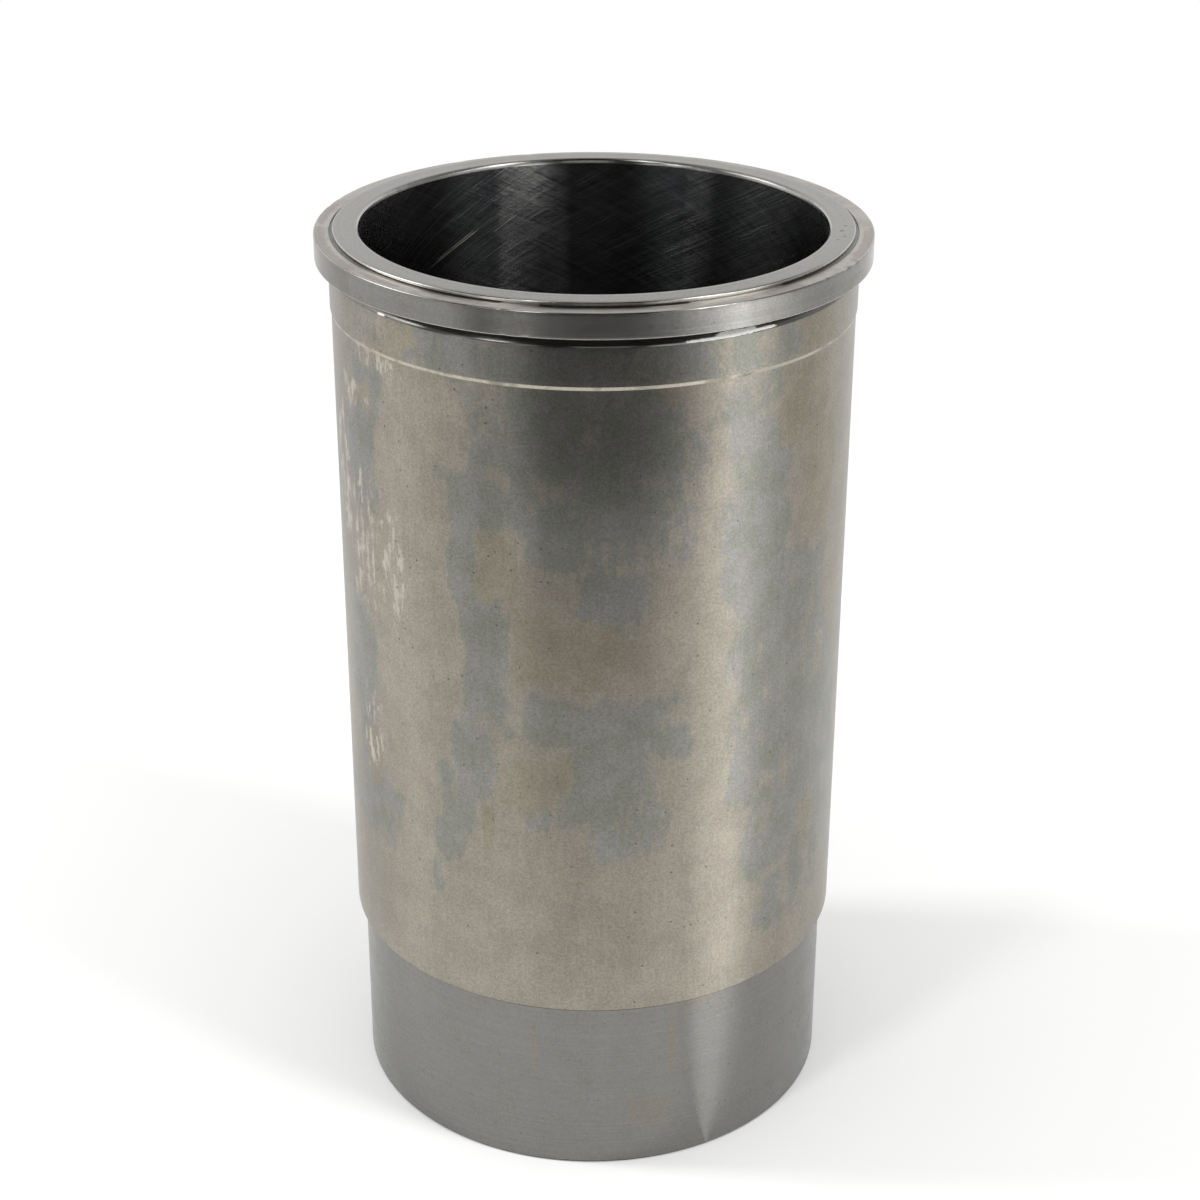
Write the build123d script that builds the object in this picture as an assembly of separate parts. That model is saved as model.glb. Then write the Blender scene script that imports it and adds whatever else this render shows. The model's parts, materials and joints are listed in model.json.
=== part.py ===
from build123d import *
import os

# Cylinder liner for a diesel engine: one turned iron sleeve with a flange and a raised ring at its top.
# Millimetres, +Z up. The liner stands on its lower end: z = 0 is its bottom face and Z is the bore's axis.

# Bore
bore_diameter = 105.0
bore_top_chamfer = 0.4       # 45 degree edge at the top of the bore
lead_in_height = 0.65        # gentle cone below that edge, which the piston rings slide down
lead_in_width = 0.17
bore_bottom_chamfer = 1.0    # 45 degree edge at the bottom of the bore

# Lengths along the axis
total_length = 217.0
ring_height = 0.9            # raised ring that seals against the head
flange_thickness = 5.7
undercut_height = 2.55       # relief below the flange
band_length = 8.6            # upper fitting band
band_lead_height = 0.85      # tapered lead at the foot of the band
spigot_length = 45.1         # lower fitting diameter

# Walls and steps, each measured outwards from the one before it
spigot_wall = 5.0
body_step = 1.85             # body over the spigot
band_rise = 0.3              # upper fitting band over the body
flange_overhang = 2.95       # flange over the upper fitting band
undercut_depth = 0.75        # relief inside the band's surface, below the flange
undercut_root = 1.3          # its straight root; from there a cone runs out to the band's top
undercut_fillet = 0.5        # where the root meets the underside of the flange
ring_setback = 4.2           # ring's outer wall inside the flange's rim
ring_groove_width = 0.8      # narrow groove at the foot of the ring
ring_groove_depth = 0.3

# Broken edges
flange_edge = 0.2
ring_edge = 0.2
body_edge = 0.3
spigot_edge = 0.5


def point(radius, height):
    return Vector(radius, 0, height)


def liner_section():
    """Half section of the liner in the XZ plane, from the bottom of the bore round to it again."""
    bore_radius = bore_diameter / 2
    spigot_radius = bore_radius + spigot_wall
    body_radius = spigot_radius + body_step
    band_radius = body_radius + band_rise
    flange_radius = band_radius + flange_overhang
    undercut_radius = band_radius - undercut_depth
    ring_radius = flange_radius - ring_setback
    groove_radius = ring_radius + ring_groove_width

    flange_top = total_length - ring_height
    flange_bottom = flange_top - flange_thickness
    band_top = flange_bottom - undercut_height
    band_bottom = band_top - band_length
    body_top = band_bottom - band_lead_height
    lead_in_top = total_length - bore_top_chamfer

    inside_and_top = Polyline(
        point(bore_radius + bore_bottom_chamfer, 0),
        point(bore_radius, bore_bottom_chamfer),
        point(bore_radius, lead_in_top - lead_in_height),
        point(bore_radius + lead_in_width, lead_in_top),
        point(bore_radius + lead_in_width + bore_top_chamfer, total_length),
        point(ring_radius - ring_edge, total_length),
        point(ring_radius, total_length - ring_edge),
        point(ring_radius, flange_top - ring_groove_depth),
        point(groove_radius, flange_top - ring_groove_depth),
        point(groove_radius, flange_top),
        point(flange_radius - flange_edge, flange_top),
        point(flange_radius, flange_top - flange_edge),
        point(flange_radius, flange_bottom + flange_edge),
        point(flange_radius - flange_edge, flange_bottom),
        point(undercut_radius + undercut_fillet, flange_bottom),
    )
    fillet_centre = point(undercut_radius + undercut_fillet, flange_bottom - undercut_fillet)
    undercut_corner = ThreePointArc(
        inside_and_top @ 1,
        fillet_centre + Vector(-undercut_fillet, 0, undercut_fillet).normalized() * undercut_fillet,
        point(undercut_radius, flange_bottom - undercut_fillet),
    )
    outside = Polyline(
        undercut_corner @ 1,
        point(undercut_radius, flange_bottom - undercut_root),
        point(band_radius, band_top),
        point(band_radius, band_bottom),
        point(body_radius, body_top),
        point(body_radius, spigot_length + body_edge),
        point(body_radius - body_edge, spigot_length),
        point(spigot_radius, spigot_length),
        point(spigot_radius, spigot_edge),
        point(spigot_radius - spigot_edge, 0),
        inside_and_top @ 0,
    )
    return make_face([*inside_and_top.edges(), *undercut_corner.edges(), *outside.edges()])


def cylinder_liner():
    return revolve(liner_section(), axis=Axis.Z, revolution_arc=360)


os.makedirs("parts", exist_ok=True)
export_step(cylinder_liner(), "parts/cylinder_liner.step")
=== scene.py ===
# Cylinder liner: the looks of one turned and honed iron sleeve.
# Everything is in metres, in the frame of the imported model: +Z up, standing on its lower end at z = 0.
# Angles run round the bore's axis in degrees: 0 towards the camera's side, growing to its right.
import json
import math
import random

import bpy
import numpy as np
from mathutils import Matrix, Vector


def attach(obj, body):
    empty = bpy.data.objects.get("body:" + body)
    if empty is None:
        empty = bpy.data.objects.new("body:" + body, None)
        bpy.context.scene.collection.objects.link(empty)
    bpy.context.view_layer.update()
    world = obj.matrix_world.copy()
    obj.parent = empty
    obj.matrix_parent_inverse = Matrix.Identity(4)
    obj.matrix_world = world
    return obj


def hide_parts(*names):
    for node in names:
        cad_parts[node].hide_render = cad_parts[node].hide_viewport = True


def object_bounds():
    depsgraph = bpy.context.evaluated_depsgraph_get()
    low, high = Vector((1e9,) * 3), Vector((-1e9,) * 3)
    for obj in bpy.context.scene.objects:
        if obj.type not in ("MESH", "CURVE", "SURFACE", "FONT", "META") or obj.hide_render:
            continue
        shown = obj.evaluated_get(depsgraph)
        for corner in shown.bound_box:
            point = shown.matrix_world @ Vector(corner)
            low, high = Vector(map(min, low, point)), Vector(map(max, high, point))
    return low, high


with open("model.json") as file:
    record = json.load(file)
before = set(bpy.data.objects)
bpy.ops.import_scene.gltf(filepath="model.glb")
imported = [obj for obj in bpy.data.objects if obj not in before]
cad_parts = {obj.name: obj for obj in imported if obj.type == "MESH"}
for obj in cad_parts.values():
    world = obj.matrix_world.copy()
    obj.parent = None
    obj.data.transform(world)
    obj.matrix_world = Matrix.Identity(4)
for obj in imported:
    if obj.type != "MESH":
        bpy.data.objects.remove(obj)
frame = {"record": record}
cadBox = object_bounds()
mm = 0.001
print("liner: frame loaded")


def onWall(angle, radius, height):
    turn = math.radians(angle)
    return Vector((radius * math.sin(turn), -radius * math.cos(turn), height))


def isSocket(value):
    return isinstance(value, bpy.types.NodeSocket)


def addNode(tree, kind, inputs=None, **settings):
    node = tree.nodes.new(kind)
    for key, value in settings.items():
        setattr(node, key, value)
    for key, value in (inputs or {}).items():
        if isSocket(value):
            tree.links.new(value, node.inputs[key])
        else:
            node.inputs[key].default_value = value
    return node


def mathNode(tree, operation, *values, clamp=False):
    node = addNode(tree, "ShaderNodeMath", operation=operation, use_clamp=clamp)
    for place, value in enumerate(values):
        if isSocket(value):
            tree.links.new(value, node.inputs[place])
        else:
            node.inputs[place].default_value = value
    return node.outputs[0]


def rangeNode(tree, value, low, high, outLow=0.0, outHigh=1.0):
    return addNode(tree, "ShaderNodeMapRange",
                   {"Value": value, "From Min": low, "From Max": high, "To Min": outLow, "To Max": outHigh},
                   interpolation_type="SMOOTHSTEP", clamp=True).outputs["Result"]


def mixColour(tree, factor, first, second, blend="MIX"):
    colours = [value if isSocket(value) else (*value, 1.0) for value in (first, second)]
    return addNode(tree, "ShaderNodeMix", {0: factor, 6: colours[0], 7: colours[1]},
                   data_type="RGBA", blend_type=blend).outputs[2]


def mixValue(tree, factor, first, second):
    return addNode(tree, "ShaderNodeMix", {0: factor, 2: first, 3: second}, data_type="FLOAT").outputs[0]


def noiseNode(tree, vector, scale, detail=2.0, roughness=0.6):
    inputs = {"Vector": vector, "Scale": scale, "Detail": detail, "Roughness": roughness}
    return addNode(tree, "ShaderNodeTexNoise", inputs).outputs["Fac"]


def vectorNode(tree, operation, *vectors):
    return addNode(tree, "ShaderNodeVectorMath", dict(enumerate(vectors)), operation=operation).outputs


cameraPlace = {
    "distance": 0.51685,   # from the bore's axis
    "height": 0.36863,     # above the floor
    "pitchDown": 25.431,   # degrees
    "yawRight": 0.180,
    "roll": 0.194,
    "lens": 71.28,         # millimetres, as is the sensor's width
    "sensor": 36.0,
    "nearest": 0.01,       # metres
}


def placeCamera():
    pitch = math.radians(cameraPlace["pitchDown"])
    yaw = math.radians(cameraPlace["yawRight"])
    roll = math.radians(cameraPlace["roll"])
    forward = Vector((math.sin(yaw) * math.cos(pitch), math.cos(yaw) * math.cos(pitch), -math.sin(pitch)))
    level = forward.cross(Vector((0, 0, 1))).normalized()
    upright = level.cross(forward)
    right = level * math.cos(roll) + upright * math.sin(roll)
    up = upright * math.cos(roll) - level * math.sin(roll)
    data = bpy.data.cameras.new("linerCamera")
    data.sensor_width = cameraPlace["sensor"]
    data.lens = cameraPlace["lens"]
    data.clip_start = cameraPlace["nearest"]
    camera = bpy.data.objects.new("linerCamera", data)
    bpy.context.scene.collection.objects.link(camera)
    turn = Matrix((right, up, -forward)).transposed().to_4x4()
    camera.matrix_world = Matrix.Translation((0, -cameraPlace["distance"], cameraPlace["height"])) @ turn
    bpy.context.scene.camera = camera


placeCamera()
print("liner: camera placed")


# the white sheet, and the levels of its far parts that only reflections see
sheet = {
    "reach": 6.0,
    "colour": (0.93, 0.93, 0.925),
    "roughness": 0.9,
    "fadeStart": 0.225,    # metres from the bore's axis
    "fadeEnd": 0.475,
    "whiteStart": 0.28,    # where the sheet starts to blend into plain white for the camera
    "whiteEnd": 0.60,
    # level of the far sheet by angle
    "levels": [(-180, 0.90), (-130, 0.80), (-112, 0.88), (-96, 0.93), (-82, 0.88), (-62, 0.84),
               (-55, 0.72), (-49, 0.44), (-43, 0.30), (-38, 0.42), (-32, 0.54), (-26, 0.30), (-19, 0.14),
               (-8, 0.08), (12, 0.07), (22, 0.16), (32, 0.32), (40, 0.70), (48, 1.12), (55, 1.60),
               (62, 1.98), (67, 1.96), (74, 1.55), (82, 1.15), (92, 0.86), (100, 0.78), (112, 0.88),
               (180, 0.95)],
    # the lamp's streak on the sheet: a wedge that opens from one point beside the liner
    "streak": {"from": (0.0279, -0.0503), "angle": 59, "halfWidth": 17, "blur": 11, "share": 0.75,
               "level": 1.1, "nearStart": 0.06, "nearEnd": 0.40},
}
# the room above the sheet, as reflections see it: its level by angle, and its windows in degrees
room = {
    "levels": [(-180, 0.92), (-150, 0.96), (-120, 0.96), (-100, 0.85), (-84, 0.60), (-76, 0.26),
               (-36, 0.14), (-24, 0.04), (36, 0.03), (44, 0.3), (80, 0.4), (88, 0.30), (110, 0.50),
               (135, 0.92), (160, 0.96), (180, 0.92)],
    "windows": {
        "rightLamp": {"angle": 62, "halfWidth": 17, "low": 20, "high": 32, "level": 4.2},
        "rightDoor": {"angle": 32, "halfWidth": 8, "low": 3, "high": 11, "level": 3.0},
        "leftWindow": {"angle": -95, "halfWidth": 14, "low": 10, "high": 40, "level": 0.45},
        "leftDoor": {"angle": -57, "halfWidth": 4, "low": 0, "high": 12, "level": 1.0},
        "leftStrip": {"angle": -29, "halfWidth": 5, "low": 4, "high": 14, "level": 1.0},
        "leftSpot": {"angle": -44, "halfWidth": 6, "low": 20, "high": 32, "level": 6.0},
        "frontStrip": {"angle": 4, "halfWidth": 12, "low": 14, "high": 24, "level": 0.55},
        "rightHighLamp": {"angle": 70, "halfWidth": 12, "low": 50, "high": 62, "level": 7.0},
        "frontHighLamp": {"angle": -43, "halfWidth": 7, "low": 56, "high": 68, "level": 7.0},
        "leftHighWindow": {"angle": -100, "halfWidth": 18, "low": 22, "high": 44, "level": 3.0},
    },
    "windowBlur": 3.0,     # degrees, at a window's sides and foot
    "windowTopBlur": 9.0,
    "ceilingStart": 20.0,
    "ceilingEnd": 42.0,
    "ceilingShare": 0.42,  # level overhead, beside the level lower down
    "diffuseLevel": 0.62,  # the plain light that falls on matt surfaces
}


def angleOf(tree, vector):
    # degrees round the axis, and the parts of the vector
    parts = addNode(tree, "ShaderNodeSeparateXYZ", {0: vector}).outputs
    ahead = mathNode(tree, "MULTIPLY", parts["Y"], -1.0)
    turn = mathNode(tree, "ARCTAN2", parts["X"], ahead)
    return mathNode(tree, "DEGREES", turn), parts


def levelsRamp(tree, angle, levels):
    brightest = max(level for place, level in levels)
    share = mathNode(tree, "MULTIPLY_ADD", angle, 1 / 360, 0.5)
    ramp = addNode(tree, "ShaderNodeValToRGB", {"Fac": share})
    stops = ramp.color_ramp.elements
    while len(stops) < len(levels):
        stops.new(0.5)
    for stop, (place, level) in zip(stops, levels):
        stop.position = (place + 180) / 360
        stop.color = (level / brightest, level / brightest, level / brightest, 1)
    return mathNode(tree, "MULTIPLY", ramp.outputs["Color"], brightest)


def makeFloor():
    reach = sheet["reach"]
    mesh = bpy.data.meshes.new("paperFloor")
    mesh.from_pydata([(-reach, -reach, 0), (reach, -reach, 0), (reach, reach, 0), (-reach, reach, 0)],
                     [], [(0, 1, 2, 3)])
    floor = bpy.data.objects.new("paperFloor", mesh)
    bpy.context.scene.collection.objects.link(floor)
    material = bpy.data.materials.new("paleSheet")
    material.use_nodes = True
    tree = material.node_tree
    tree.nodes.clear()
    place = addNode(tree, "ShaderNodeTexCoord").outputs["Object"]
    angle = angleOf(tree, place)[0]
    distance = vectorNode(tree, "LENGTH", place)["Value"]
    lightPath = addNode(tree, "ShaderNodeLightPath").outputs
    streak = sheet["streak"]
    beside = vectorNode(tree, "SUBTRACT", place, (*streak["from"], 0))[0]
    away = mathNode(tree, "ABSOLUTE", mathNode(tree, "SUBTRACT", angleOf(tree, beside)[0], streak["angle"]))
    core = streak["halfWidth"] - streak["blur"]
    glow = rangeNode(tree, away, core, core + 2 * streak["blur"], 1.0, 0.0)
    far = rangeNode(tree, distance, sheet["fadeStart"], sheet["fadeEnd"])
    near = rangeNode(tree, distance, streak["nearStart"], streak["nearEnd"], 1.0, 0.0)
    near = mathNode(tree, "MULTIPLY", near, glow)
    far = mathNode(tree, "MAXIMUM", far, mathNode(tree, "MULTIPLY", glow, streak["share"]))
    far = mathNode(tree, "MULTIPLY", far, lightPath["Is Glossy Ray"])
    white = mathNode(tree, "MULTIPLY", rangeNode(tree, distance, sheet["whiteStart"], sheet["whiteEnd"]),
                     lightPath["Is Camera Ray"])
    paper = addNode(tree, "ShaderNodeBsdfPrincipled",
                    {"Base Color": (*sheet["colour"], 1), "Roughness": sheet["roughness"],
                     "Specular IOR Level": 0.0})
    level = mathNode(tree, "MULTIPLY_ADD", near, streak["level"], levelsRamp(tree, angle, sheet["levels"]))
    level = mixValue(tree, lightPath["Is Camera Ray"], level, 1.0)
    beyond = addNode(tree, "ShaderNodeEmission", {"Strength": level})
    both = addNode(tree, "ShaderNodeMixShader",
                   {0: mathNode(tree, "ADD", far, white), 1: paper.outputs[0], 2: beyond.outputs[0]})
    output = addNode(tree, "ShaderNodeOutputMaterial")
    tree.links.new(both.outputs[0], output.inputs["Surface"])
    mesh.materials.append(material)


def makeRoom():
    world = bpy.data.worlds.new("studioRoom")
    bpy.context.scene.world = world
    world.use_nodes = True
    tree = world.node_tree
    tree.nodes.clear()
    direction = addNode(tree, "ShaderNodeTexCoord").outputs["Generated"]
    angle, parts = angleOf(tree, direction)
    rise = mathNode(tree, "DEGREES", mathNode(tree, "ARCSINE", parts["Z"]))
    ceiling = rangeNode(tree, rise, room["ceilingStart"], room["ceilingEnd"], 1.0, room["ceilingShare"])
    level = mathNode(tree, "MULTIPLY", levelsRamp(tree, angle, room["levels"]), ceiling)
    blur, topBlur = room["windowBlur"], room["windowTopBlur"]
    for window in room["windows"].values():
        away = mathNode(tree, "ABSOLUTE", mathNode(tree, "SUBTRACT", angle, window["angle"]))
        across = rangeNode(tree, away, window["halfWidth"] - blur, window["halfWidth"] + blur, 1.0, 0.0)
        above = rangeNode(tree, rise, window["low"] - blur, window["low"] + blur)
        below = rangeNode(tree, rise, window["high"] - topBlur, window["high"] + topBlur, 1.0, 0.0)
        glow = mathNode(tree, "MULTIPLY", mathNode(tree, "MULTIPLY", across, above), below)
        level = mathNode(tree, "MULTIPLY_ADD", glow, window["level"], level)
    lightPath = addNode(tree, "ShaderNodeLightPath").outputs
    plainLevel = mixValue(tree, lightPath["Is Camera Ray"], room["diffuseLevel"], 1.0)
    plain = addNode(tree, "ShaderNodeBackground", {"Color": (1, 1, 1, 1), "Strength": plainLevel})
    seen = addNode(tree, "ShaderNodeBackground", {"Color": (1, 1, 1, 1), "Strength": level})
    both = addNode(tree, "ShaderNodeMixShader",
                   {0: lightPath["Is Glossy Ray"], 1: plain.outputs[0], 2: seen.outputs[0]})
    output = addNode(tree, "ShaderNodeOutputWorld")
    tree.links.new(both.outputs[0], output.inputs["Surface"])


# soft lamps that only shade the paper: angle, distance, height, size across, level
paperLamps = {
    "overhead": {"angle": 0, "distance": 0.1, "height": 1.6, "across": 1.6, "level": 0.45},
    "rightLamp": {"angle": 59, "distance": 1.1, "height": 1.0, "across": 0.36, "level": 20.0},
    "leftLamp": {"angle": -94, "distance": 1.1, "height": 0.75, "across": 0.22, "level": 44.0},
    "frontLamp": {"angle": -41, "distance": 1.1, "height": 1.0, "across": 0.2, "level": 26.0},
}
lampAim = Vector((0, 0, 0.05))


def makeLamps():
    for name, lamp in paperLamps.items():
        data = bpy.data.lights.new(name, "AREA")
        data.shape = "SQUARE"
        data.size = lamp["across"]
        data.energy = lamp["level"] * math.pi * lamp["across"] ** 2
        light = bpy.data.objects.new(name, data)
        bpy.context.scene.collection.objects.link(light)
        light.location = onWall(lamp["angle"], lamp["distance"], lamp["height"])
        towards = lampAim - light.location
        light.rotation_euler = towards.to_track_quat("-Z", "Y").to_euler()
        light.visible_glossy = False
        light.visible_camera = False


makeFloor()
makeRoom()
makeLamps()
print("liner: floor, room and lamps ready")


# effects shared by the materials
def newGroup(name, inputs, outputs):
    group = bpy.data.node_groups.new(name, "ShaderNodeTree")
    for socketName, kind, value in inputs:
        socket = group.interface.new_socket(socketName, in_out="INPUT", socket_type="NodeSocket" + kind)
        if value is not None:
            socket.default_value = value
    for socketName, kind in outputs:
        group.interface.new_socket(socketName, in_out="OUTPUT", socket_type="NodeSocket" + kind)
    return group, addNode(group, "NodeGroupInput").outputs, addNode(group, "NodeGroupOutput").inputs


def useGroup(tree, group, inputs):
    return addNode(tree, "ShaderNodeGroup", inputs, node_tree=group).outputs


def makeLinerPlace():
    # where a point lies on the liner: degrees round the axis, height and radius in millimetres
    group, given, result = newGroup(
        "linerPlace",
        [("Vector", "Vector", None)],
        [("Angle", "Float"), ("Height", "Float"), ("Radius", "Float")])
    angle, parts = angleOf(group, given["Vector"])
    flat = vectorNode(group, "MULTIPLY", given["Vector"], (1, 1, 0))[0]
    radius = vectorNode(group, "LENGTH", flat)["Value"]
    group.links.new(angle, result["Angle"])
    group.links.new(mathNode(group, "DIVIDE", parts["Z"], mm), result["Height"])
    group.links.new(mathNode(group, "DIVIDE", radius, mm), result["Radius"])
    return group


def makeRaggedEdge():
    # turns a field, 0 at a stain's edge and 1 in its middle, into a mask with a broken edge
    group, given, result = newGroup(
        "raggedEdge",
        [("Vector", "Vector", None), ("Field", "Float", 0.0), ("Scale", "Float", 60.0),
         ("Amount", "Float", 3.0), ("Softness", "Float", 0.12)],
        [("Mask", "Float")])
    stretched = vectorNode(group, "MULTIPLY", given["Vector"], (1, 1, 0.55))[0]
    ragged = noiseNode(group, stretched, given["Scale"], 5.0, 0.66)
    inside = mathNode(group, "MINIMUM", given["Field"], 0.55)
    ragged = mathNode(group, "SUBTRACT", ragged, 0.5)
    broken = mathNode(group, "MULTIPLY_ADD", ragged, given["Amount"], inside)
    low = mathNode(group, "MULTIPLY", given["Softness"], -1.0)
    group.links.new(rangeNode(group, broken, low, given["Softness"]), result["Mask"])
    return group


def makeTurnedMarks():
    # rings left by the cutting tool: round the wall on a cylinder, and concentric on a face
    group, given, result = newGroup(
        "turnedMarks",
        [("Vector", "Vector", None), ("Fineness", "Float", 3000.0), ("Wander", "Float", 6.0)],
        [("Lines", "Float")])
    parts = addNode(group, "ShaderNodeSeparateXYZ", {0: given["Vector"]}).outputs
    flat = vectorNode(group, "MULTIPLY", given["Vector"], (1, 1, 0))[0]
    radius = vectorNode(group, "LENGTH", flat)["Value"]
    along = mathNode(group, "MULTIPLY", mathNode(group, "ADD", parts["Z"], radius), given["Fineness"])
    spread = addNode(group, "ShaderNodeCombineXYZ",
                     {"X": mathNode(group, "MULTIPLY", parts["X"], given["Wander"]),
                      "Y": mathNode(group, "MULTIPLY", parts["Y"], given["Wander"]), "Z": along}).outputs[0]
    group.links.new(noiseNode(group, spread, 1.0), result["Lines"])
    return group


def makeHelixMarks():
    # scratches that climb the wall as a helix, one family of a honed cross-hatch
    group, given, result = newGroup(
        "helixMarks",
        [("Vector", "Vector", None), ("Twist", "Float", 16.0), ("Fineness", "Float", 2500.0),
         ("Run", "Float", 60.0)],
        [("Lines", "Float")])
    parts = addNode(group, "ShaderNodeSeparateXYZ", {0: given["Vector"]}).outputs
    turn = mathNode(group, "MULTIPLY", parts["Z"], given["Twist"])
    untwisted = addNode(group, "ShaderNodeVectorRotate", {"Vector": given["Vector"], "Angle": turn},
                        rotation_type="Z_AXIS").outputs[0]
    around = addNode(group, "ShaderNodeSeparateXYZ", {0: untwisted}).outputs
    spread = addNode(group, "ShaderNodeCombineXYZ",
                     {"X": mathNode(group, "MULTIPLY", around["X"], given["Fineness"]),
                      "Y": mathNode(group, "MULTIPLY", around["Y"], given["Fineness"]),
                      "Z": mathNode(group, "MULTIPLY", around["Z"], given["Run"])}).outputs[0]
    group.links.new(noiseNode(group, spread, 1.0, 1.0), result["Lines"])
    return group


def makeSpecks():
    # small points and pores, each a little different in size
    group, given, result = newGroup(
        "ironSpecks",
        [("Vector", "Vector", None), ("Scale", "Float", 900.0), ("Share", "Float", 0.12),
         ("Size", "Float", 0.22)],
        [("Mask", "Float")])
    cells = addNode(group, "ShaderNodeTexVoronoi",
                    {"Vector": given["Vector"], "Scale": given["Scale"]}).outputs
    chances = addNode(group, "ShaderNodeSeparateColor", {0: cells["Color"]}).outputs
    size = mathNode(group, "MULTIPLY", given["Size"], mathNode(group, "ADD", chances["Green"], 0.5))
    edge = mathNode(group, "DIVIDE", cells["Distance"], size)
    dot = rangeNode(group, edge, 0.5, 1.0, 1.0, 0.0)
    chosen = mathNode(group, "LESS_THAN", chances["Red"], given["Share"])
    group.links.new(mathNode(group, "MULTIPLY", dot, chosen), result["Mask"])
    return group


linerPlace = makeLinerPlace()
raggedEdge = makeRaggedEdge()
turnedMarks = makeTurnedMarks()
helixMarks = makeHelixMarks()
ironSpecks = makeSpecks()


def newMaterial(name):
    material = bpy.data.materials.new(name)
    material.use_nodes = True
    tree = material.node_tree
    tree.nodes.clear()
    return material, tree, addNode(tree, "ShaderNodeTexCoord").outputs["Object"]


def finishMaterial(tree, finish, colour, roughness, height, metallic=1.0):
    bump = addNode(tree, "ShaderNodeBump",
                   {"Height": height, "Strength": finish["bump"], "Distance": finish["bumpDepth"]})
    grain = addNode(tree, "ShaderNodeTangent", direction_type="RADIAL", axis="Z")
    shader = addNode(tree, "ShaderNodeBsdfPrincipled",
                     {"Base Color": colour, "Roughness": roughness, "Metallic": metallic,
                      "Normal": bump.outputs[0], "Tangent": grain.outputs[0],
                      "Anisotropic": finish["anisotropic"], "Anisotropic Rotation": 0.25})
    output = addNode(tree, "ShaderNodeOutputMaterial")
    tree.links.new(shader.outputs[0], output.inputs["Surface"])


def shadeOf(tree, value, low, high, dark, light):
    level = rangeNode(tree, value, low, high, dark, light)
    return addNode(tree, "ShaderNodeCombineColor", {0: level, 1: level, 2: level}).outputs[0]


def shaded(tree, colour, value, depth, low=0.3, high=0.7):
    # the colour a little darker and lighter with the value
    return mixColour(tree, 1.0, colour, shadeOf(tree, value, low, high, 1 - depth, 1 + depth), "MULTIPLY")


def spotOf(tree, place, across="Height"):
    spot = useGroup(tree, linerPlace, {"Vector": place})
    wall = addNode(tree, "ShaderNodeCombineXYZ", {"X": spot["Angle"], "Y": spot[across]}).outputs[0]
    return wall, spot["Angle"]


def patchField(tree, wall, patches):
    # 1 in the middle of the nearest listed patch, 0 at its edge, less outside;
    # each patch: angle, height (or radius on a flat face), half of each, and its share where it is faint
    nearest = 4.0
    for angle, height, halfAngle, halfHeight, *share in patches:
        lift = math.sqrt(1 - share[0]) if share else 0.0
        local = vectorNode(tree, "MULTIPLY_ADD", wall, (1 / halfAngle, 1 / halfHeight, 0),
                           (-angle / halfAngle, -height / halfHeight, lift))[0]
        square = vectorNode(tree, "MULTIPLY", local, local)[0]
        nearest = mathNode(tree, "MINIMUM", vectorNode(tree, "LENGTH", square)["Value"], nearest)
    return mathNode(tree, "SUBTRACT", 1.0, nearest)


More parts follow.
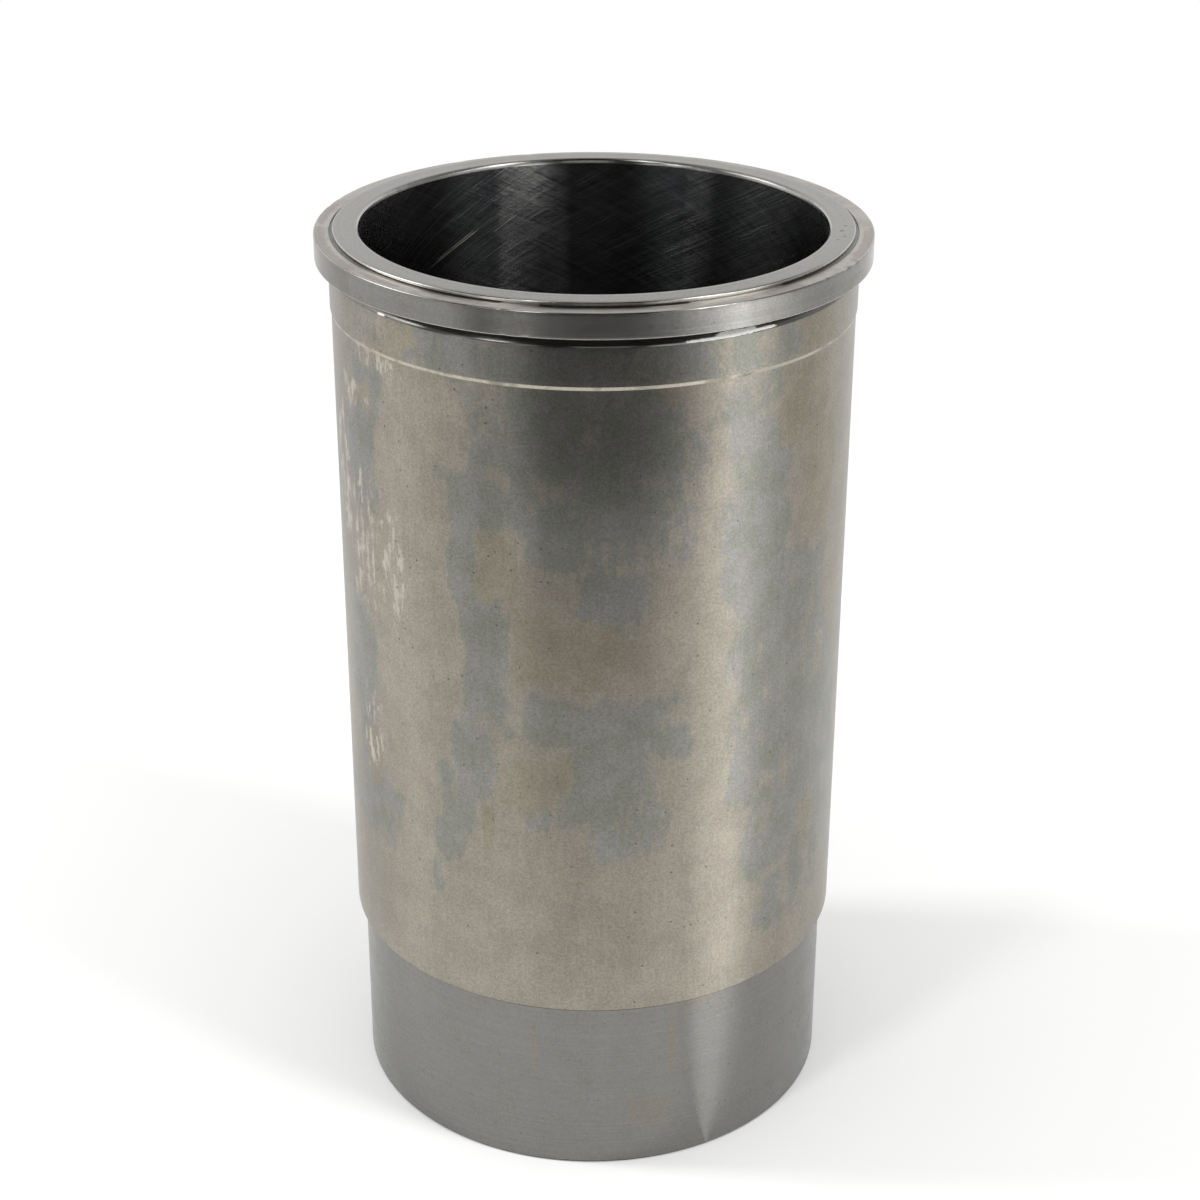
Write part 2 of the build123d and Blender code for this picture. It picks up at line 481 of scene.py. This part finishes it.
# every colour is linear
bodyFinish = {
    "colour": (0.335, 0.307, 0.256),
    "steel": (0.262, 0.264, 0.230),
    "steelViolet": (0.272, 0.264, 0.246),
    "tan": (0.312, 0.282, 0.220),
    "pale": (0.47, 0.425, 0.37),
    "speck": (0.09, 0.088, 0.082),
    "roughness": 0.33, "steelRoughness": 0.30, "anisotropic": 0.93,
    "bump": 0.25, "bumpDepth": 0.00004, "fineness": 2200.0,
    # bare blue-grey metal, and how much of it the drift puts on the back
    "steelStains": {
        "scale": 140.0, "driftSlope": 9.0, "driftStart": -4.6,
        "patches": [
            (-1, 188, 22, 13), (-18, 171, 15, 6), (4, 168, 15, 11), (3, 151, 8, 7), (-28, 156, 3.5, 10),
            (-23, 133, 5, 16), (2, 121, 20, 6), (17, 116, 5, 5), (4, 106, 9, 11), (7, 93, 8.5, 7),
            (-26, 109, 6, 10), (-31, 98, 5, 8), (-34, 88, 4, 7), (-37, 76, 1.6, 6, 0.7), (-12, 98, 2.5, 5),
            (-64, 124, 7, 12), (-60, 86, 10, 9, 0.8), (-57, 188, 6, 8, 0.8), (-61, 172, 7, 9, 0.6),
            (46, 122, 14, 30), (48, 88, 13, 14), (37, 172, 9, 28, 0.8), (68, 95, 10, 28),
            (49, 66, 9, 7, 0.7), (-61, 108, 5, 26, 0.8), (-1, 204, 45, 5.5)]},
    # warmer film
    "tanStains": {
        "scale": 120.0, "driftSlope": -9.0, "driftStart": 3.7,
        "patches": [
            (-12, 138, 6, 8), (0, 137, 6, 8), (-21, 159, 5, 8), (-14, 104, 6, 6), (-8, 108, 4, 5),
            (51, 188, 8, 10), (57, 168, 7, 12), (57, 81, 4, 5, 0.9), (-60, 187, 5, 3), (-60, 97, 4, 8, 0.7),
            (-23.5, 90, 1.4, 7, 0.9), (53, 205, 7, 5, 0.8), (-49, 199, 6, 3, 0.8), (-43, 205, 4, 3, 0.8)]},
    "ragged": 5.0, "softness": 0.38,
    "driftScale": 30.0, "backStart": 66.0, "backEnd": 84.0,   # the drift takes over between these angles
    # painted reflection of the dark room, partly the metal's own grey: the grey below the flange fades
    # downwards, and the left flank is a little darker
    "duskPatches": [(3, 212, 27, 50), (-58, 80, 20, 50, 0.32)], "duskDepth": 0.45,
    "cloudScale": 130.0, "cloudDepth": 0.06,
    "wearScale": 900.0, "wearDepth": 0.03,
    "grainScale": 1900.0, "grainDepth": 0.16,
    "specks": {"Scale": 620.0, "Share": 0.16, "Size": 0.16}, "speckShare": 0.75,
    # lifted scale, in short upright smears
    "flakePatches": [
        (-60, 150, 6, 16), (-62, 186, 6, 4), (-48, 150, 4, 13, 0.6), (-59, 104, 4.5, 10, 0.8),
        (-71, 165, 5, 16, 0.7), (-53, 197, 9, 2.5, 0.8)],
    "smearScale": 460.0, "flakeReach": 0.3, "flakeLift": 0.16,
    "flakeStart": 0.53, "flakeEnd": 0.67, "flakeShare": 0.85, "flakeMatte": 0.5,
}


def upright(tree, place, share):
    # a pattern read from this place is stretched along the axis
    return vectorNode(tree, "MULTIPLY", place, (1, 1, share))[0]


def stainedIron(name, finish):
    material, tree, place = newMaterial(name)
    wall, angle = spotOf(tree, place)
    # stains: placed one by one in front, drifting freely behind
    behind = rangeNode(tree, mathNode(tree, "ABSOLUTE", angle), finish["backStart"], finish["backEnd"])
    drift = noiseNode(tree, upright(tree, place, 0.45), finish["driftScale"])
    masks = []
    for stains in (finish["steelStains"], finish["tanStains"]):
        free = mathNode(tree, "MULTIPLY_ADD", drift, stains["driftSlope"], stains["driftStart"])
        field = mixValue(tree, behind, patchField(tree, wall, stains["patches"]), free)
        masks.append(useGroup(tree, raggedEdge,
                              {"Vector": place, "Field": field, "Scale": stains["scale"],
                               "Amount": finish["ragged"], "Softness": finish["softness"]})["Mask"])
    steel, tan = masks
    cloud = noiseNode(tree, place, finish["cloudScale"], 3.0)
    grey = mixColour(tree, rangeNode(tree, cloud, 0.46, 0.54), finish["steel"], finish["steelViolet"])
    colour = mixColour(tree, steel, finish["colour"], grey)
    colour = mixColour(tree, tan, colour, finish["tan"])
    # painted reflection: the colour is darkened below the flange and on the left flank
    greyAndPaintedReflection = patchField(tree, wall, finish["duskPatches"])
    greyAndPaintedReflection = shadeOf(tree, greyAndPaintedReflection, 0.0, 0.9, 1.0, 1 - finish["duskDepth"])
    colour = mixColour(tree, 1.0, colour, greyAndPaintedReflection, "MULTIPLY")
    # cloudy tone, upright wear, fine grain, specks
    colour = shaded(tree, colour, cloud, finish["cloudDepth"], 0.32, 0.68)
    wear = noiseNode(tree, upright(tree, place, 0.1), finish["wearScale"], 2.0, 0.7)
    colour = shaded(tree, colour, wear, finish["wearDepth"])
    grain = noiseNode(tree, place, finish["grainScale"], 2.0, 0.8)
    colour = shaded(tree, colour, grain, finish["grainDepth"])
    specks = useGroup(tree, ironSpecks, {"Vector": place, **finish["specks"]})["Mask"]
    specks = mathNode(tree, "MULTIPLY", specks, finish["speckShare"])
    colour = mixColour(tree, specks, colour, finish["speck"])
    # lifted scale
    smears = noiseNode(tree, upright(tree, place, 0.4), finish["smearScale"], 3.0, 0.75)
    lifted = mathNode(tree, "MINIMUM", patchField(tree, wall, finish["flakePatches"]), finish["flakeReach"])
    lifted = mathNode(tree, "MULTIPLY_ADD", lifted, finish["flakeLift"], smears)
    flakes = rangeNode(tree, lifted, finish["flakeStart"], finish["flakeEnd"], 0.0, finish["flakeShare"])
    colour = mixColour(tree, flakes, colour, finish["pale"])
    marks = useGroup(tree, turnedMarks, {"Vector": place, "Fineness": finish["fineness"]})["Lines"]
    roughness = mixValue(tree, steel, finish["roughness"], finish["steelRoughness"])
    metallic = mathNode(tree, "SUBTRACT", 1.0, mathNode(tree, "MULTIPLY", flakes, finish["flakeMatte"]))
    finishMaterial(tree, finish, colour, roughness, marks, metallic)
    return material


# a finish with patches says what they are placed across: the height of a wall or the radius of a face
turnedFinish = {
    "faces": {"colour": (0.285, 0.281, 0.263), "tint": (0.31, 0.285, 0.25), "roughness": 0.22,
              "anisotropic": 0.5, "bump": 0.25, "bumpDepth": 0.00004, "fineness": 2600.0, "tintShare": 0.35,
              "across": "Radius", "ragged": 3.0, "patchColour": (0.13, 0.125, 0.115),
              "patches": [(82, 55.3, 0.7, 0.4), (78, 56.3, 0.5, 0.3), (86, 56.1, 0.5, 0.3),
                          (75, 55.2, 0.4, 0.3)]},
    "ledge": {"colour": (0.465, 0.443, 0.405), "tint": (0.38, 0.345, 0.30), "roughness": 0.30,
              "anisotropic": 0.3, "bump": 0.3, "bumpDepth": 0.00004, "fineness": 2600.0, "tintShare": 0.6,
              "across": "Radius", "ragged": 3.0, "patchColour": (0.36, 0.315, 0.28),
              "patches": [(76, 61.5, 12, 1.3, 0.8), (-72, 61.5, 16, 1.4, 0.8), (-47, 61.0, 6, 0.8, 0.7),
                          (-98, 61.3, 8, 1.0, 0.7), (40, 61.2, 5, 1.2, 0.8)]},
    "rim": {"colour": (0.267, 0.260, 0.243), "tint": (0.235, 0.212, 0.184), "roughness": 0.20,
            "anisotropic": 0.85, "bump": 0.3, "bumpDepth": 0.00004, "fineness": 3000.0, "tintShare": 0.6,
            "across": "Height", "ragged": 0.4, "patchColour": (0.37, 0.362, 0.342),
            "patches": [(8, 213, 22, 12)]},
    # painted highlight: the ring wall's iron is made far paler than the rest, so that what it mirrors comes
    # out white
    "ringWall": {"colour": (0.76, 0.745, 0.71), "tint": (0.66, 0.63, 0.58), "roughness": 0.16,
                 "anisotropic": 0.3, "bump": 0.3, "bumpDepth": 0.00003, "fineness": 2600.0,
                 "tintShare": 0.6},
    # painted shade and painted reflection: the groove's iron is darkened as if in shade, and its pale
    # patches stand in for the ring wall's bright reflection
    "groove": {"colour": (0.14, 0.137, 0.128), "tint": (0.11, 0.10, 0.09), "roughness": 0.30,
               "anisotropic": 0.6, "bump": 0.4, "bumpDepth": 0.00006, "fineness": 1800.0, "tintShare": 0.5,
               "across": "Radius", "ragged": 1.0, "patchColour": (0.62, 0.605, 0.57),
               "patches": [(31, 58.8, 11, 3), (-15, 58.8, 4, 3)]},
    # painted shade: iron darkened nearly to black under the flange, at the body's lower edge and at the
    # spigot's foot
    "relief": {"colour": (0.028, 0.027, 0.025), "tint": (0.05, 0.045, 0.038), "roughness": 0.30,
               "anisotropic": 0.6, "bump": 0.4, "bumpDepth": 0.00006, "fineness": 1800.0, "tintShare": 0.5},
    # painted highlight: white matte patches on the cone stand in for the bright sliver of lamp light under
    # the flange
    "cone": {"colour": (0.24, 0.236, 0.22), "tint": (0.19, 0.175, 0.16), "roughness": 0.17,
             "anisotropic": 0.5, "bump": 0.3, "bumpDepth": 0.00004, "fineness": 1800.0, "tintShare": 0.5,
             "across": "Height", "ragged": 2.2, "patchColour": (0.95, 0.94, 0.90), "patchMatte": 1.0,
             "patches": [(29.5, 208.35, 4.5, 0.66), (24, 208.0, 5.5, 0.28), (36, 208.1, 3.5, 0.26, 0.8),
                         (-49, 208.0, 1.5, 0.25, 0.3)]},
    "lead": {"colour": (0.43, 0.40, 0.33), "tint": (0.21, 0.19, 0.15), "roughness": 0.28,
             "anisotropic": 0.6, "bump": 0.3, "bumpDepth": 0.00003, "fineness": 2600.0, "tintShare": 0.75},
    "edge": {"colour": (0.46, 0.455, 0.435), "tint": (0.34, 0.32, 0.29), "roughness": 0.20,
             "anisotropic": 0.6, "bump": 0.3, "bumpDepth": 0.00003, "fineness": 2600.0, "tintShare": 0.6},
    "spigot": {"colour": (0.218, 0.216, 0.204), "tint": (0.224, 0.21, 0.183), "roughness": 0.26,
               "anisotropic": 0.9, "bump": 0.3, "bumpDepth": 0.00003, "fineness": 3200.0, "tintShare": 0.15,
               "across": "Height", "ragged": 3.0, "patchColour": (0.228, 0.214, 0.190),
               "patches": [(-13.7, 32, 1.0, 7, 0.7), (19.2, 33, 1.2, 10, 0.6), (25, 43, 5, 2.5, 0.7),
                           (13, 14, 6, 5, 0.4)]},
}


# what all the turned surfaces have in common
turnedLook = {
    "cloudScale": 140.0, "tintStart": 0.46, "tintEnd": 0.62,
    "stainScale": 420.0, "stainSoftness": 0.2,
    "markDepth": 0.05, "grainScale": 1800.0, "grainDepth": 0.06,
    "specks": {"Scale": 700.0, "Share": 0.08, "Size": 0.15}, "speckShare": 0.5, "speckTone": 0.3,
    "roughnessSpread": 0.08,
}


def turnedIron(name, finish):
    look = turnedLook
    material, tree, place = newMaterial(name)
    marks = useGroup(tree, turnedMarks, {"Vector": place, "Fineness": finish["fineness"]})["Lines"]
    cloud = noiseNode(tree, place, look["cloudScale"], 3.0, 0.65)
    tint = rangeNode(tree, cloud, look["tintStart"], look["tintEnd"], 0.0, finish["tintShare"])
    colour = mixColour(tree, tint, finish["colour"], finish["tint"])
    metallic = 1.0
    # patches: real stains on most surfaces; on the groove and the cone they are painted shade and painted
    # light
    if "patches" in finish:
        field = patchField(tree, spotOf(tree, place, finish["across"])[0], finish["patches"])
        stainAndPaintedLight = useGroup(tree, raggedEdge,
                         {"Vector": place, "Field": field, "Scale": look["stainScale"],
                          "Amount": finish["ragged"], "Softness": look["stainSoftness"]})["Mask"]
        colour = mixColour(tree, stainAndPaintedLight, colour, finish["patchColour"])
        # a matte white patch is a painted highlight
        if "patchMatte" in finish:
            matte = mathNode(tree, "MULTIPLY", stainAndPaintedLight, finish["patchMatte"])
            metallic = mathNode(tree, "SUBTRACT", 1.0, matte)
    colour = shaded(tree, colour, marks, look["markDepth"])
    colour = shaded(tree, colour, noiseNode(tree, place, look["grainScale"], 1.0), look["grainDepth"])
    specks = useGroup(tree, ironSpecks, {"Vector": place, **look["specks"]})["Mask"]
    specks = mathNode(tree, "MULTIPLY", specks, look["speckShare"])
    colour = mixColour(tree, specks, colour, [part * look["speckTone"] for part in finish["colour"]])
    spread = finish["roughness"] * look["roughnessSpread"]
    roughness = rangeNode(tree, cloud, 0.3, 0.7, finish["roughness"] - spread, finish["roughness"] + spread)
    finishMaterial(tree, finish, colour, roughness, marks, metallic)
    return material


boreFinish = {
    "colour": (0.160, 0.165, 0.168), "scratch": (0.85, 0.80, 0.70),
    "roughness": 0.26, "anisotropic": 0.88, "bump": 0.5, "bumpDepth": 0.00003,
    "fineness": 3600.0, "run": 130.0, "twist": 36.0, "lineDepth": 0.6,
    "strokes": 0.5, "strokeStart": 0.64, "strokeEnd": 0.78,
    # painted reflection: lighter upright columns stand in for the lamp light that the bore wall mirrors
    "wornColour": (0.46, 0.46, 0.45),
    "worn": [(-160.5, 190, 7.5, 70), (-168.5, 190, 5, 50, 0.7), (151, 185, 5, 60, 0.22)],
    "scratchHeight": 198.2,
    # degrees that the deep scratches turn for each millimetre up, and how that changes
    "lean": 2.44,
    "bend": -0.077,
    "scratchRoughness": 0.6,
    # deep scratches on that lean: angle, height above scratchHeight, half angle, half height, share
    "scratches": [(-140.0, 0.0, 0.13, 3.8), (-138.7, 0.6, 0.10, 3.0, 0.7), (-147.0, 4.0, 0.05, 2.2, 0.4)],
}


def honedIron(name, finish):
    material, tree, place = newMaterial(name)
    twist, fineness = finish["twist"], finish["fineness"]
    families = []
    for turn in (twist, -twist):
        families.append(useGroup(tree, helixMarks, {"Vector": place, "Twist": turn, "Fineness": fineness,
                                                    "Run": finish["run"]})["Lines"])
    lines = mathNode(tree, "MULTIPLY", mathNode(tree, "ADD", *families), 0.5)
    wall = spotOf(tree, place)[0]
    # painted reflection on the bore wall
    worn = rangeNode(tree, patchField(tree, wall, finish["worn"]), -0.3, 0.9)
    colour = mixColour(tree, worn, finish["colour"], finish["wornColour"])
    colour = shaded(tree, colour, lines, finish["lineDepth"], 0.38, 0.62)
    start, end = finish["strokeStart"], finish["strokeEnd"]
    strokes = rangeNode(tree, families[0], start, end, 0.0, finish["strokes"])
    colour = mixColour(tree, strokes, colour, finish["scratch"])
    parts = addNode(tree, "ShaderNodeSeparateXYZ", {0: wall}).outputs
    above = mathNode(tree, "SUBTRACT", parts["Y"], finish["scratchHeight"])
    lean = mathNode(tree, "MULTIPLY_ADD", above, finish["bend"], finish["lean"])
    straight = mathNode(tree, "MULTIPLY_ADD", above, lean, parts["X"])
    leaning = addNode(tree, "ShaderNodeCombineXYZ", {"X": straight, "Y": above}).outputs[0]
    scratches = rangeNode(tree, patchField(tree, leaning, finish["scratches"]), 0.0, 0.5)
    colour = mixColour(tree, scratches, colour, finish["scratch"])
    roughness = mixValue(tree, scratches, finish["roughness"], finish["scratchRoughness"])
    finishMaterial(tree, finish, colour, roughness, lines)
    return material


materials = {
    "faces": turnedIron("turnedFaceIron", turnedFinish["faces"]),
    "ledge": turnedIron("turnedLedgeIron", turnedFinish["ledge"]),
    "rim": turnedIron("turnedRimIron", turnedFinish["rim"]),
    "ringWall": turnedIron("ringWallIron", turnedFinish["ringWall"]),
    # the dark iron is painted shade
    "relief": turnedIron("darkReliefIron", turnedFinish["relief"]),
    "cone": turnedIron("reliefConeIron", turnedFinish["cone"]),
    "groove": turnedIron("ringGrooveIron", turnedFinish["groove"]),
    "lead": turnedIron("bandLeadIron", turnedFinish["lead"]),
    "edge": turnedIron("brokenEdgeIron", turnedFinish["edge"]),
    "body": stainedIron("stainedBodyIron", bodyFinish),
    "spigot": turnedIron("groundSpigotIron", turnedFinish["spigot"]),
    "bore": honedIron("honedBoreIron", boreFinish),
}
print("liner: materials ready")


mounts = {mount["name"]: mount for mount in frame["record"]["mounts"]}
# millimetres; the main radii and heights come from the frame
linerForm = {
    "boreRadius": mounts["piston_bore"]["dims"]["r_mm"],
    "spigotRadius": mounts["lower_spigot"]["dims"]["r_mm"],
    "flangeRadius": cadBox[1][0] / mm,
    "topHeight": cadBox[1][2] / mm,
    "seatHeight": mounts["flange_seat"]["pos_m"][2] / mm,
    "topChamfer": 0.4,
    "leadInHeight": 0.65,
    "leadInWidth": 0.17,
    "bottomChamfer": 1.0,
    "ringHeight": 0.9,
    "ringSetback": 4.2,
    "grooveWidth": 0.8,
    "grooveDepth": 0.3,
    "flangeEdge": 0.2,
    "ringEdge": 0.2,
    "undercutHeight": 2.55,
    "undercutDepth": 0.75,
    "undercutRoot": 1.3,
    "undercutFillet": 0.5,
    "bandLength": 8.6,
    "bandLead": 0.85,
    "flangeOverhang": 2.95,
    "bandRise": 0.3,
    "spigotHeight": 45.1,
    "bodyEdge": 0.3,
    "spigotEdge": 0.5,
    "bandTopInset": 0.1275,   # the band's top edge, broken where the undercut's cone ends
    "cornerRound": 0.06,      # the small rounding left on every outer corner
    "cornerSteps": 2,
    "filletSteps": 5,
    "roundShare": 0.4,        # of the next stretch, at most
    "segments": 800,
    "sharpAngle": 28,         # degrees
}


def linerCorners():
    # corners of the half section from the foot of the bore round to it again:
    # radius, height, rounding, surface of the stretch that follows, rows along that stretch
    form = linerForm
    top = form["topHeight"]
    bore = form["boreRadius"]
    flange = form["flangeRadius"]
    spigot = form["spigotRadius"]
    ring = flange - form["ringSetback"]
    groove = ring + form["grooveWidth"]
    flangeTop = top - form["ringHeight"]
    seat = form["seatHeight"]
    band = flange - form["flangeOverhang"]
    root = band - form["undercutDepth"]
    bandTop = seat - form["undercutHeight"]
    bandFoot = bandTop - form["bandLength"]
    body = band - form["bandRise"]
    bodyTop = bandFoot - form["bandLead"]
    leadTop = top - form["topChamfer"]
    edge = form["flangeEdge"]
    small = form["cornerRound"]
    return [
        (bore + form["bottomChamfer"], 0, small, "edge", 1),
        (bore, form["bottomChamfer"], small, "bore", 6),
        (bore, leadTop - form["leadInHeight"], small, "edge", 1),
        (bore + form["leadInWidth"], leadTop, small, "edge", 1),
        (bore + form["leadInWidth"] + form["topChamfer"], top, small, "faces", 5),
        (ring - form["ringEdge"], top, small, "edge", 1),
        (ring, top - form["ringEdge"], small, "ringWall", 2),
        # painted shade in the groove, with painted reflection patches
        (ring, flangeTop - form["grooveDepth"], 0, "groove", 1),
        (groove, flangeTop - form["grooveDepth"], 0, "groove", 1),
        (groove, flangeTop, small, "ledge", 4),
        (flange - edge, flangeTop, small, "edge", 2),
        (flange, flangeTop - edge, small, "rim", 9),
        (flange, seat + edge, small, "edge", 1),
        # painted shade under the flange
        (flange - edge, seat, small, "relief", 3),
        (root, seat, form["undercutFillet"], "relief", 2),
        (root, seat - form["undercutRoot"], 0, "cone", 3),
        (band - form["bandTopInset"], bandTop + edge, small, "cone", 1),
        (band, bandTop - edge, small, "body", 5),
        (band, bandFoot, small, "lead", 1),
        (body, bodyTop, small, "body", 12),
        # painted shade at the body's lower edge
        (body, form["spigotHeight"] + form["bodyEdge"], small, "relief", 1),
        (body - form["bodyEdge"], form["spigotHeight"], small, "relief", 1),
        (spigot, form["spigotHeight"], 0, "spigot", 6),
        # painted shade at the spigot's foot
        (spigot, form["spigotEdge"], small, "relief", 1),
        (spigot - form["spigotEdge"], 0, small, "faces", 2),
    ]


def roundedSection(corners):
    # each corner becomes a small round of a few points, and each long stretch gets its rows
    form = linerForm
    most = form["roundShare"]
    rounds = []
    count = len(corners)
    for place, corner in enumerate(corners):
        here = Vector(corner[:2])
        before = Vector(corners[place - 1][:2])
        after = Vector(corners[(place + 1) % count][:2])
        rounding = corner[2]
        reach = min(rounding, most * (here - before).length, most * (after - here).length)
        if reach == 0:
            rounds.append([here])
            continue
        start = here + (before - here).normalized() * reach
        end = here + (after - here).normalized() * reach
        steps = form["filletSteps"] if rounding > form["cornerRound"] else form["cornerSteps"]
        shares = [step / steps for step in range(steps + 1)]
        rounds.append([(1 - share) ** 2 * start + 2 * share * (1 - share) * here + share ** 2 * end
                       for share in shares])
    points = []
    surfaces = []
    for place, (surface, rows) in enumerate(corner[3:] for corner in corners):
        points += rounds[place]
        surfaces += [surface] * len(rounds[place])
        start = rounds[place][-1]
        end = rounds[(place + 1) % count][0]
        points += [start.lerp(end, row / rows) for row in range(1, rows)]
        surfaces += [surface] * (rows - 1)
    return points, surfaces


# knocks on the flange's outer edges, in millimetres; a few are placed and the rest fall at random
knocks = {
    "placed": [(59.5, 1.0, 0.16), (63.5, 1.3, 0.14), (-56.5, 1.1, 0.10), (-17.5, 0.7, 0.08)],
    "scattered": 46,
    "widths": (0.5, 1.3),
    "depths": (0.02, 0.09),
    "spread": 0.5,         # how far a knock reaches over the edge, in shares of its width
    "rise": 0.6,           # how much of it pushes along the axis
    "seed": 11,
}


def knockedIn(radii, heights, turns):
    # push the flange's top and bottom edges and the body's lower edge in a little
    form = linerForm
    draw = random.Random(knocks["seed"])
    marks = list(knocks["placed"])
    for place in range(knocks["scattered"]):
        spin = draw.uniform(-180, 180)
        width = draw.uniform(*knocks["widths"])
        marks.append((spin, width, draw.uniform(*knocks["depths"])))
    flangeTop = form["topHeight"] - form["ringHeight"]
    bodyRadius = form["flangeRadius"] - form["flangeOverhang"] - form["bandRise"]
    edges = [(form["flangeRadius"], flangeTop), (form["flangeRadius"], form["seatHeight"]),
             (bodyRadius, form["spigotHeight"])]
    for place, (angle, width, depth) in enumerate(marks):
        edgeRadius, edgeHeight = edges[0] if place < len(knocks["placed"]) else edges[place % len(edges)]
        away = np.degrees(turns)[None, :] - angle
        arc = np.radians((away + 180) % 360 - 180) * edgeRadius
        near = np.hypot(radii - edgeRadius, heights - edgeHeight)
        push = depth * np.exp(-(arc / width) ** 2) * np.exp(-(near / (knocks["spread"] * width)) ** 2)
        radii = radii - push
        heights = heights - push * (knocks["rise"] if edgeHeight == flangeTop else -knocks["rise"])
    return radii, heights


def latheLiner():
    points, surfaces = roundedSection(linerCorners())
    segments = linerForm["segments"]
    turns = np.arange(segments) * (2 * math.pi / segments)
    radii = np.repeat(np.array([point.x for point in points])[:, None], segments, axis=1)
    heights = np.repeat(np.array([point.y for point in points])[:, None], segments, axis=1)
    radii, heights = knockedIn(radii, heights, turns)
    corners = np.stack([radii * np.sin(turns), -radii * np.cos(turns), heights], axis=2).reshape(-1, 3) * mm
    order = list(materials)
    faces = []
    slots = []
    for row in range(len(points)):
        nextRow = (row + 1) % len(points)
        for step in range(segments):
            nextStep = (step + 1) % segments
            faces.append((row * segments + step, nextRow * segments + step,
                          nextRow * segments + nextStep, row * segments + nextStep))
            slots.append(order.index(surfaces[row]))
    mesh = bpy.data.meshes.new("linerSleeve")
    mesh.from_pydata(corners.tolist(), [], faces)
    for name in order:
        mesh.materials.append(materials[name])
    mesh.polygons.foreach_set("material_index", slots)
    mesh.polygons.foreach_set("use_smooth", [True] * len(faces))
    mesh.update()
    mesh.set_sharp_from_angle(angle=math.radians(linerForm["sharpAngle"]))
    liner = bpy.data.objects.new("linerSleeve", mesh)
    bpy.context.scene.collection.objects.link(liner)
    return liner


liner = latheLiner()
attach(liner, "root")
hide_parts("cylinder_liner")
print("liner: sleeve turned, triangles", 2 * len(liner.data.polygons))

bpy.context.scene.view_settings.view_transform = "Standard"
